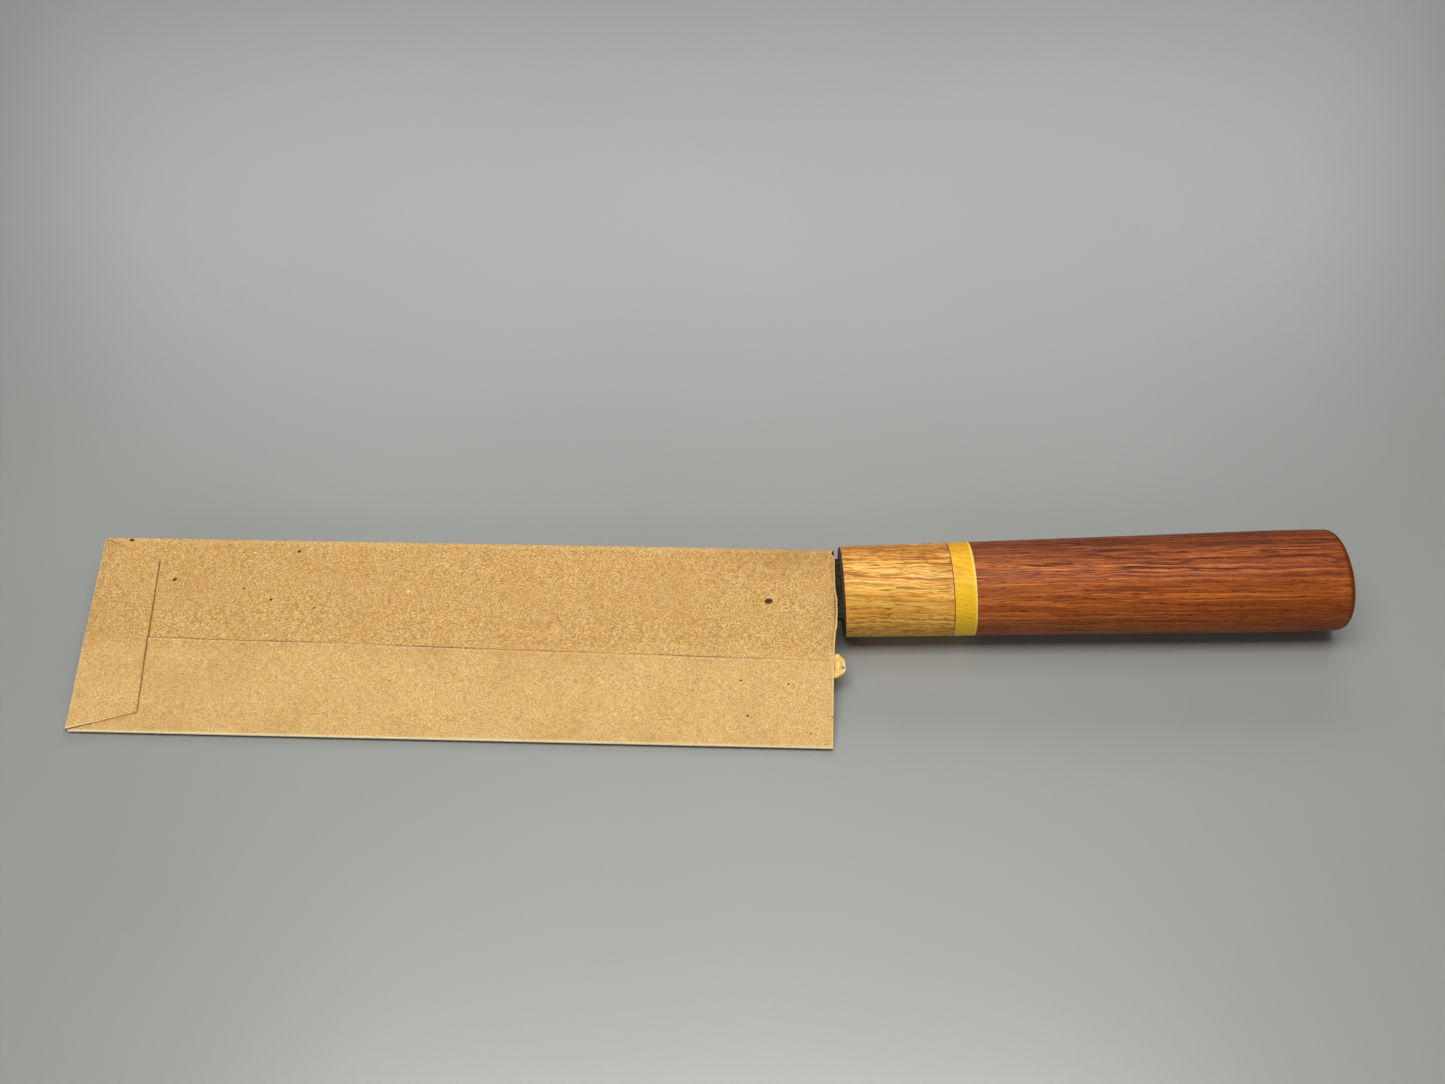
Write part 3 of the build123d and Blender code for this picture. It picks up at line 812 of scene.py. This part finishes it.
def flap_edge(w):
    """Where the flap's inner edge lies, cut a little askew."""
    return SHEATH_LENGTH - FLAP_REACH - 0.032 * (w - 25.0) + 0.06 * smooth_noise(w / 5, 7.0)


def flap_near_edge(s):
    """The flap's mitred side nearer the edge fold."""
    along = (LAST_ROW - s) / (LAST_ROW - SHEATH_LENGTH + FLAP_REACH)
    return mix(under_columns(LAST_ROW)[-1], FLAP_NEAR, along)


def flap_height(s, w):
    """Middle of the flap, which lies over both panels."""
    over = smooth(seam(s) - 1.6, seam(s) + 0.3, w)
    top = mix(far_height(s, w), near_height(s, w), over)
    corner = 0.42 * smooth(172.0, 181.0, s) * smooth(45.0, 49.5, w)
    rim = 0.07 * smooth(2.6, 0.0, s - flap_edge(w)) * (0.35 + 0.65 * bell(24.0, 15.0, w))
    return top + LAYER - HALF_PAPER + corner + rim


def flap_edge_shade(s, w):
    """Painted shade on the panels at the foot of the flap's inner edge."""
    beside = smooth(0.28, 0.08, flap_edge(w) - s) * smooth(5.5, 7.5, w) * smooth(45.8, 44.8, w)
    broken = 0.75 + 0.5 * smooth_noise(w / 1.3, 3.0)
    return beside * broken * (0.5 + 0.45 * bell(22.0, 13.0, w))


class Sheet:
    """The points of the folded sheet as it is built, row by row."""

    def __init__(self):
        self.vertices = []
        self.grime = []
        self.wear = []

    def add_row(self, places, grime, wear):
        """Adds a row of points and gives their indices."""
        start = len(self.vertices)
        self.vertices.extend(places)
        self.grime.extend(grime)
        self.wear.extend(wear)
        return list(range(start, start + len(places)))


def inside_shade(s, spot):
    """The dark inside of the underside, seen through the mouth's open spine corner."""
    if spot.height > 0:
        return 0.0
    return 0.95 * smooth(3.6, 2.4, spot.w) * smooth(2.2, 1.4, s)


def tube_row(sheet, row):
    """One row round the tube; rows near the flap's edge run along that edge."""
    follow = bell(SHEATH_LENGTH - FLAP_REACH, 7.0, row)
    places, grime, wear = [], [], []
    for spot in tube_section(row):
        s = row + follow * (flap_edge(spot.w) - SHEATH_LENGTH + FLAP_REACH)
        stands_out = mouth_shift(spot.w, spot.height) * smooth(9.0, 0.0, s)
        curled = lip(spot.w) if spot.side == "top" else 0.0
        drop = LIP_DROP * curled * smooth(0.7, 0.4, row)
        places.append(point(s - stands_out, spot.w, spot.height - drop))
        # painted shade: at the foot of the flap's inner edge on the top and inside the mouth below, and a thin
        # painted shade line behind the mouth's curled lip
        painted_shade = flap_edge_shade(s, spot.w) if spot.side == "top" else inside_shade(s, spot)
        grime.append(max(spot.grime, painted_shade, 0.75 * curled * bell(0.65, 0.12, row)))
        wear.append(max(spot.wear, (0.4 + 0.2 * curled) * smooth(0.45 + 0.1 * curled, 0.1, row)))
    return sheet.add_row(places, grime, wear)


def fold_row(sheet, angle):
    """The sheet turning up and over at the closed end."""
    c, v = math.cos(math.radians(angle)), math.sin(math.radians(angle))
    columns = under_columns(LAST_ROW)
    places = []
    for w in columns:
        low = HALF_PAPER - under_depth(LAST_ROW, w)
        high = flap_height(LAST_ROW, w)
        places.append(point(LAST_ROW + FOLD_ROUND * c, w, mix(low, high, (v + 1) / 2)))
    # wear and a painted highlight on the outside of the closed end's fold, strongest at the edge-side crease
    worn_and_lit = [0.3 * c] * (len(columns) - 1) + [0.8]
    return sheet.add_row(places, [0.0] * len(columns), worn_and_lit)


def flap_row(sheet, t):
    """A row of the flap, t of the way from the closed end to its inner edge."""
    places = []
    columns = under_columns(LAST_ROW)
    for w in columns:
        place = flap_width(w, t)
        s = mix(LAST_ROW, flap_edge(place), t)
        places.append(point(s, place, flap_height(s, place)))
    # painted shade along the flap's inner edge and its near mitre
    grime = [0.7 * smooth(0.985, 1.0, t)] * (len(columns) - 1) + [0.3 * t]
    wear = [0.0] * (len(columns) - 1) + [mix(0.8, 0.0, t)]
    return sheet.add_row(places, grime, wear)


def tube_rows():
    """Distances of the tube's rows from the mouth: close at the mouth, at the flap's
    inner edge and towards the closed end."""
    edge = SHEATH_LENGTH - FLAP_REACH
    rows = [0.0, 0.2, 0.4, 0.52, 0.65, 0.78, 1.0, 1.4, 2.2, 3.6, 5.4]
    rows += steps(7.5, 159.5, 76) + [161.0, 162.4, 163.4]
    rows += [edge - away for away in (1.5, 1.0, 0.7, 0.5, 0.35, 0.2, 0.0, -0.3, -0.8)]
    return rows + [167.4, 169, 171, 173, 174.5, 176, 177.3, 178.4, 179.3, 180.1, 180.7, LAST_ROW]


def sleeve_piece():
    """One folded sheet: the tube round the blade and the end flap it runs on into."""
    sheet = Sheet()
    tube = [tube_row(sheet, row) for row in tube_rows()]
    sides = [spot.side for spot in tube_section(LAST_ROW)]
    first_under = sides.index("under")
    hinge = tube[-1][first_under : first_under + sides.count("under")]
    flap = [hinge] + [fold_row(sheet, angle) for angle in steps(-90, 90, ARC_STEPS)[1:]]
    flap += [flap_row(sheet, t) for t in steps(0.0, 0.9, 12)[1:] + [0.94, 0.965, 0.985, 0.994, 1.0]]
    faces = grid_faces(tube) + grid_faces(flap)
    marks = {"grime": sheet.grime, "wear": sheet.wear}
    piece = new_piece("paper_sleeve", sheet.vertices, faces, [kraft, cut_edge], marks=marks)
    return thicken(piece, PAPER)


def thicken(piece, thickness):
    """Gives a sheet its thickness; its second material goes on the cut edges."""
    solid = piece.modifiers.new("thickness", "SOLIDIFY")
    solid.thickness = thickness * MM
    solid.offset = 0.0
    solid.material_offset_rim = len(piece.data.materials) - 1
    return apply_modifiers(piece, SHARP_DEGREES)


def film_piece(name, s_values, w_values, height):
    """A thin glue film between two layers; height gives its middle at (s, w)."""
    vertices = [point(s, w, height(s, w)) for s in s_values for w in w_values]
    count = len(w_values)
    rows = [list(range(i * count, (i + 1) * count)) for i in range(len(s_values))]
    return thicken(new_piece(name, vertices, grid_faces(rows), [amber]), FILM_THICKNESS)


def seam_film():
    """The glue between the near panel and the far one."""
    gap = PAPER + GLUE_FILM / 2
    return film_piece(
        "seam_film", steps(0.6, 180.0, 60), steps(30.5, 40.5, 8), lambda s, w: near_height(s, w) - gap
    )


def flap_film():
    """The glue between the end flap and the panels under it."""
    gap = HALF_PAPER + GLUE_FILM / 2
    return film_piece(
        "flap_film",
        steps(168.6, 180.0, 12),
        steps(9.0, 42.5, 24),
        lambda s, w: flap_height(s, w) - gap,
    )


def top_surface(s, w):
    """Outside of whichever layer is on top at (s, w)."""
    if s > flap_edge(w) and FLAP_FAR < w < flap_near_edge(s):
        return flap_height(s, w) + HALF_PAPER
    if w > seam(s):
        return near_height(s, w) + lip_lift(s, w)
    return far_height(s, w)


def fleck(vertices, faces, s, w, length, width, turn, upper=True):
    """Adds one irregular speck that lies on the paper, with a slightly domed middle."""
    centre = len(vertices)

    def on_paper(ds, dw, lift):
        if upper:
            return point(s + ds, w + dw, top_surface(s + ds, w + dw) + lift)
        return point(s + ds, w + dw, -under_depth(s + ds, w + dw) - lift)

    vertices.append(on_paper(0.0, 0.0, FLECK_MIDDLE))
    for k in range(FLECK_SIDES):
        a = 2 * math.pi * k / FLECK_SIDES
        grow = 0.5 + 0.16 * smooth_noise(s * 3.1 + k, w * 2.3)
        along, across = length * grow * math.cos(a), width * grow * math.sin(a)
        ds = along * math.cos(turn) - across * math.sin(turn)
        dw = along * math.sin(turn) + across * math.cos(turn)
        vertices.append(on_paper(ds, dw, FLECK_RIM))
    for k in range(FLECK_SIDES):
        faces.append((centre, centre + 1 + k, centre + 1 + (k + 1) % FLECK_SIDES))


# the specks that stand out: distance from the mouth, from the spine fold, and length
BIG_BARK = [
    (15.8, 14.3, 2.1),
    (161.7, 11.5, 1.25),
    (131.9, 3.5, 0.9),
    (144.2, 13.5, 0.6),
    (145.7, 4.0, 0.5),
    (137.1, 16.2, 0.8),
    (126.2, 18.1, 0.7),
    (142.2, 27.8, 0.5),
    (174.4, 1.2, 1.3),
    (9.8, 14.9, 0.5),
    (22.0, 34.2, 0.7),
    (10.7, 34.9, 0.6),
    (20.2, 42.7, 0.7),
    (5.4, 46.6, 0.6),
    (0.4, 42.5, 0.5),
]
BIG_PALE = [
    (103.6, 13.5, 0.9),
    (95.0, 41.0, 0.7),
    (122.0, 37.6, 0.6),
    (22.9, 20.0, 0.6),
    (15.7, 45.2, 0.6),
]
SCATTERED = 110  # draws of small specks; those on the seam are left out
SCATTER_S = (1.5, 163.0)  # they lie between these distances from the mouth
SCATTER_W = (2.5, 48.0)  # and from the spine fold
CLEAR_OF_SEAM = 1.0
FLECK_SIDES = 9
FLECK_MIDDLE = 0.03  # a speck's height above the paper
FLECK_RIM = 0.004  # and at its rim


def fleck_piece(name, known, seed, material):
    """Specks of one kind: the big ones in place and small ones scattered on both faces."""
    draw = random.Random(seed)
    vertices, faces = [], []
    for s, w, length in known:
        fleck(vertices, faces, s, w, length, length * draw.uniform(0.5, 0.75), draw.uniform(-0.4, 0.4))
    for k in range(SCATTERED):
        s, w = draw.uniform(*SCATTER_S), draw.uniform(*SCATTER_W)
        length = draw.uniform(0.2, 0.5)
        turn = draw.uniform(-1.2, 1.2)
        if abs(w - seam(s)) > CLEAR_OF_SEAM:
            fleck(vertices, faces, s, w, length, length * draw.uniform(0.35, 0.8), turn, k % 2 == 0)
    return new_piece(name, vertices, faces, [material])


# ---- The bead of glue that was pressed out of the seam
BEAD_OUTLINE = [
    (0.3, 28.4),
    (-0.05, 26.9),
    (-1.1, 27.0),
    (-2.1, 27.85),
    (-2.75, 29.0),
    (-2.6, 30.2),
    (-2.95, 31.0),
    (-2.2, 32.0),
    (-1.3, 32.8),
    (-0.2, 33.4),
    (0.5, 32.8),
    (0.5, 30.4),
]
BEAD_DENT = (-2.15, 30.5)
BEAD_MIDDLE = Vector((-0.3, 29.9))
BEAD_RINGS = 7
ALL_SMOOTH = 180  # degrees: no bend of the bead is sharp


def bead_droop(s):
    """How far the bead's middle plane sinks outside the mouth."""
    return 0.05 * s * abs(s)


def bead_height(s, w, side, dome):
    """The bead's surface above the lap; side is 1 on top and -1 below."""
    outside = smooth(0.2, -0.5, s)
    wrinkle = 0.09 * smooth_noise(s * 1.1, w * 0.9, 3.0 * side)
    dent = 0.4 * bell(BEAD_DENT[0], 0.5, s) * bell(BEAD_DENT[1], 0.5, w) if side > 0 else 0.0
    return bead_droop(s) + side * mix(0.04, 0.36, outside) * dome + wrinkle * outside - dent


def bead_faces(count):
    """Faces of the two domes of count points a ring, which meet in one shared rim."""

    def index(side, ring, k):
        first = 2 * BEAD_RINGS if ring == BEAD_RINGS else side * BEAD_RINGS + ring
        return first * count + k % count

    faces = []
    for side in (0, 1):
        for ring in range(BEAD_RINGS):
            for k in range(count):
                quad = [
                    index(side, ring, k),
                    index(side, ring, k + 1),
                    index(side, ring + 1, k + 1),
                    index(side, ring + 1, k),
                ]
                faces.append(quad if side else quad[::-1])
        cap = [index(side, 0, k) for k in range(count)]
        faces.append(cap[::-1] if side else cap)
    return faces


def bead_piece():
    """A flat drop with a rounded rim, a wrinkled skin and a small dent."""
    outline = [Vector((s, w)) for s, w in BEAD_OUTLINE]
    lap = near_height(0.0, 30.0) - PAPER - GLUE_FILM / 2
    vertices = []
    for side in (1, -1):
        for ring in range(BEAD_RINGS):
            share = ring / BEAD_RINGS
            dome = math.sqrt(1 - share * share) if ring else 1.0
            spread = 1 - (1 - share) ** 1.6 if ring else 0.02
            for place in outline:
                s, w = BEAD_MIDDLE + (place - BEAD_MIDDLE) * spread
                vertices.append(point(s, w, lap + bead_height(s, w, side, dome)))
    for place in outline:
        vertices.append(point(place.x, place.y, lap + bead_droop(place.x)))
    piece = new_piece("glue_bead", vertices, bead_faces(len(outline)), [amber])
    piece.modifiers.new("round", "SUBSURF").levels = 2
    return apply_modifiers(piece, ALL_SMOOTH)


# ---- Stage
FLOOR_HALF = 2.0  # metres


def floor_piece():
    """The table, a wide flat square under the object."""
    corners = [(-1, -1), (1, -1), (1, 1), (-1, 1)]
    mesh = bpy.data.meshes.new("floor")
    mesh.from_pydata([(FLOOR_HALF * x, FLOOR_HALF * y, 0.0) for x, y in corners], [], [(0, 1, 2, 3)])
    mesh.materials.append(floor_paint())
    piece = bpy.data.objects.new("floor", mesh)
    bpy.context.scene.collection.objects.link(piece)


def soft_light(name, place, target, size, watts, colour):
    """A large soft box that faces its target."""
    lamp = bpy.data.lights.new(name, "AREA")
    lamp.shape = "RECTANGLE"
    lamp.size, lamp.size_y = size
    lamp.energy = watts
    lamp.color = colour
    holder = bpy.data.objects.new(name, lamp)
    holder.location = place
    holder.rotation_euler = (Vector(target) - Vector(place)).to_track_quat("-Z", "Y").to_euler()
    bpy.context.scene.collection.objects.link(holder)


def studio_light():
    """Soft boxes above, in front and behind, and a faint even room light."""
    soft_light("key", (0.0, -0.065, 0.55), (0.0, 0.0, 0.0), (0.50, 0.20), 2.7, (1.0, 0.99, 0.97))
    soft_light("ceiling", (0.0, 0.28, 0.90), (0.0, 0.0, 0.0), (0.8, 0.3), 1.0, (1.0, 1.0, 1.0))
    soft_light("front", (-0.27, -0.60, 0.42), (-0.07, 0.0, 0.0), (0.7, 0.2), 1.05, (1.0, 0.99, 0.97))
    soft_light("back", (0.0, 1.35, 0.95), (0.0, 0.1, 0.0), (1.8, 0.45), 8.0, (0.96, 0.98, 1.0))
    world = bpy.data.worlds.new("room")
    world.use_nodes = True
    background = world.node_tree.nodes["Background"]
    background.inputs["Color"].default_value = (0.96, 0.98, 1.0, 1.0)
    background.inputs["Strength"].default_value = 0.05
    bpy.context.scene.world = world
    bpy.context.scene.view_settings.view_transform = "Standard"


# The camera stands in front of the object and looks down at it, turned and tilted a little.
CAMERA_PLACE = (0.00896, -0.19815, 0.29512)
CAMERA_ELEVATION = 51.77
CAMERA_YAW = -1.304
CAMERA_ROLL = -2.047
SENSOR_WIDTH = 36.0
FOCAL_LENGTH = 36.1246


def camera():
    """The camera, with its frame level turned by roll about its line of sight."""
    el, yaw, roll = (math.radians(a) for a in (CAMERA_ELEVATION, CAMERA_YAW, CAMERA_ROLL))
    forward = Vector((math.sin(yaw) * math.cos(el), math.cos(yaw) * math.cos(el), -math.sin(el)))
    level = forward.cross(Vector((0, 0, 1))).normalized()
    down = forward.cross(level)
    right = math.cos(roll) * level - math.sin(roll) * down
    down = math.sin(roll) * level + math.cos(roll) * down
    data = bpy.data.cameras.new("camera")
    data.sensor_width = SENSOR_WIDTH
    data.sensor_fit = "HORIZONTAL"
    data.lens = FOCAL_LENGTH
    data.clip_start = 0.01
    holder = bpy.data.objects.new("camera", data)
    turn = Matrix((right, -down, -forward)).transposed()
    holder.matrix_world = Matrix.Translation(CAMERA_PLACE) @ turn.to_4x4()
    bpy.context.scene.collection.objects.link(holder)
    bpy.context.scene.camera = holder


# ---- Everything in its place
def dress(node, material):
    """Gives a CAD node its material."""
    NODES[node].data.materials.clear()
    NODES[node].data.materials.append(material)


kraft = kraft_paper()
cut_edge = cut_paper()
amber = amber_glue()
glue = dark_glue()

dress("blade", forged_steel())
dress("ferrule", ferrule_wood())
dress("spacer", spacer_wood())
dress("handle_body", body_wood())
dress("front_glue_line", glue)
dress("rear_glue_line", pale_glue())
dress("core_dowel", dowel_wood())
dress("tang_resin", resin())
dress("sleeve", kraft)
dress("seam_glue", amber)
dress("flap_glue", amber)

sleeve = sleeve_piece()
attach(sleeve, "sheath")
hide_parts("sleeve")

for piece, node in ((bead_piece(), "seam_glue"), (seam_film(), "seam_glue"), (flap_film(), "flap_glue")):
    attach(piece, "sheath")
    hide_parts(node)

for name, known, seed, material in (
    ("bark_flecks", BIG_BARK, 5, bark_fleck()),
    ("pale_flecks", BIG_PALE, 8, pale_fleck()),
):
    piece = fleck_piece(name, known, seed, material)
    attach(piece, "sheath")

floor_piece()
studio_light()
camera()
